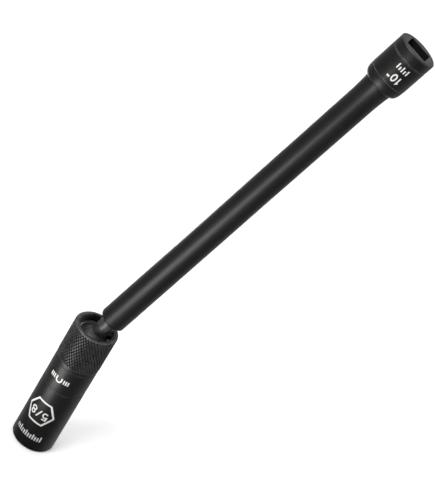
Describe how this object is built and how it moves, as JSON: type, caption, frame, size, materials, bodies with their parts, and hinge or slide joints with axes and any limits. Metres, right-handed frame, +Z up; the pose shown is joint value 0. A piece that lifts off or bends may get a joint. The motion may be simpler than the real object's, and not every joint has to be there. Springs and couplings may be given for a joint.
{
  "type": "swivel spark plug socket with extension",
  "caption": "Magnetic hexagon socket for spark plugs that swivels on the ball end of a long round extension with a square female drive.",
  "frame": {"origin": "centre of the socket's mouth, in the plane of its end face", "axes": "+Z up the socket's own axis from the mouth to the swivel, +X the way the extension leans at rest, so that the lean is about +Y"},
  "size_m": [0.0723, 0.0202, 0.2486],
  "materials": {
    "black_oxide": "satin black oxide on chrome vanadium steel",
    "spring_steel": "oil-blackened spring steel",
    "hardened_steel": "ground hardened steel",
    "pole_steel": "bright drawn steel",
    "nickel": "nickel plate on the magnet",
    "zinc": "zinc plate",
    "mark_white": "matt laser mark"
  },
  "bodies": {
    "socket": {"socket_body": "black_oxide", "retaining_ring": "spring_steel", "thrust_cup": "hardened_steel", "wave_spring": "spring_steel", "magnet_ring": "nickel", "magnet_sleeve": "pole_steel", "magnet_washer": "zinc"},
    "pin": {"cross_pin": "hardened_steel"},
    "extension": {"extension_bar": "black_oxide"}
  },
  "joints": [
    {"name": "pin_rock", "type": "hinge", "parent": "socket", "child": "pin", "pos_m": [0, 0, 0.0613], "axis": [1, 0, 0], "range_deg": [-17.5, 17.5]},
    {"name": "bar_swing", "type": "hinge", "parent": "pin", "child": "extension", "pos_m": [0, 0, 0.0613], "axis": [0, 1, 0], "range_deg": [-33.8, 1.2]}
  ]
}
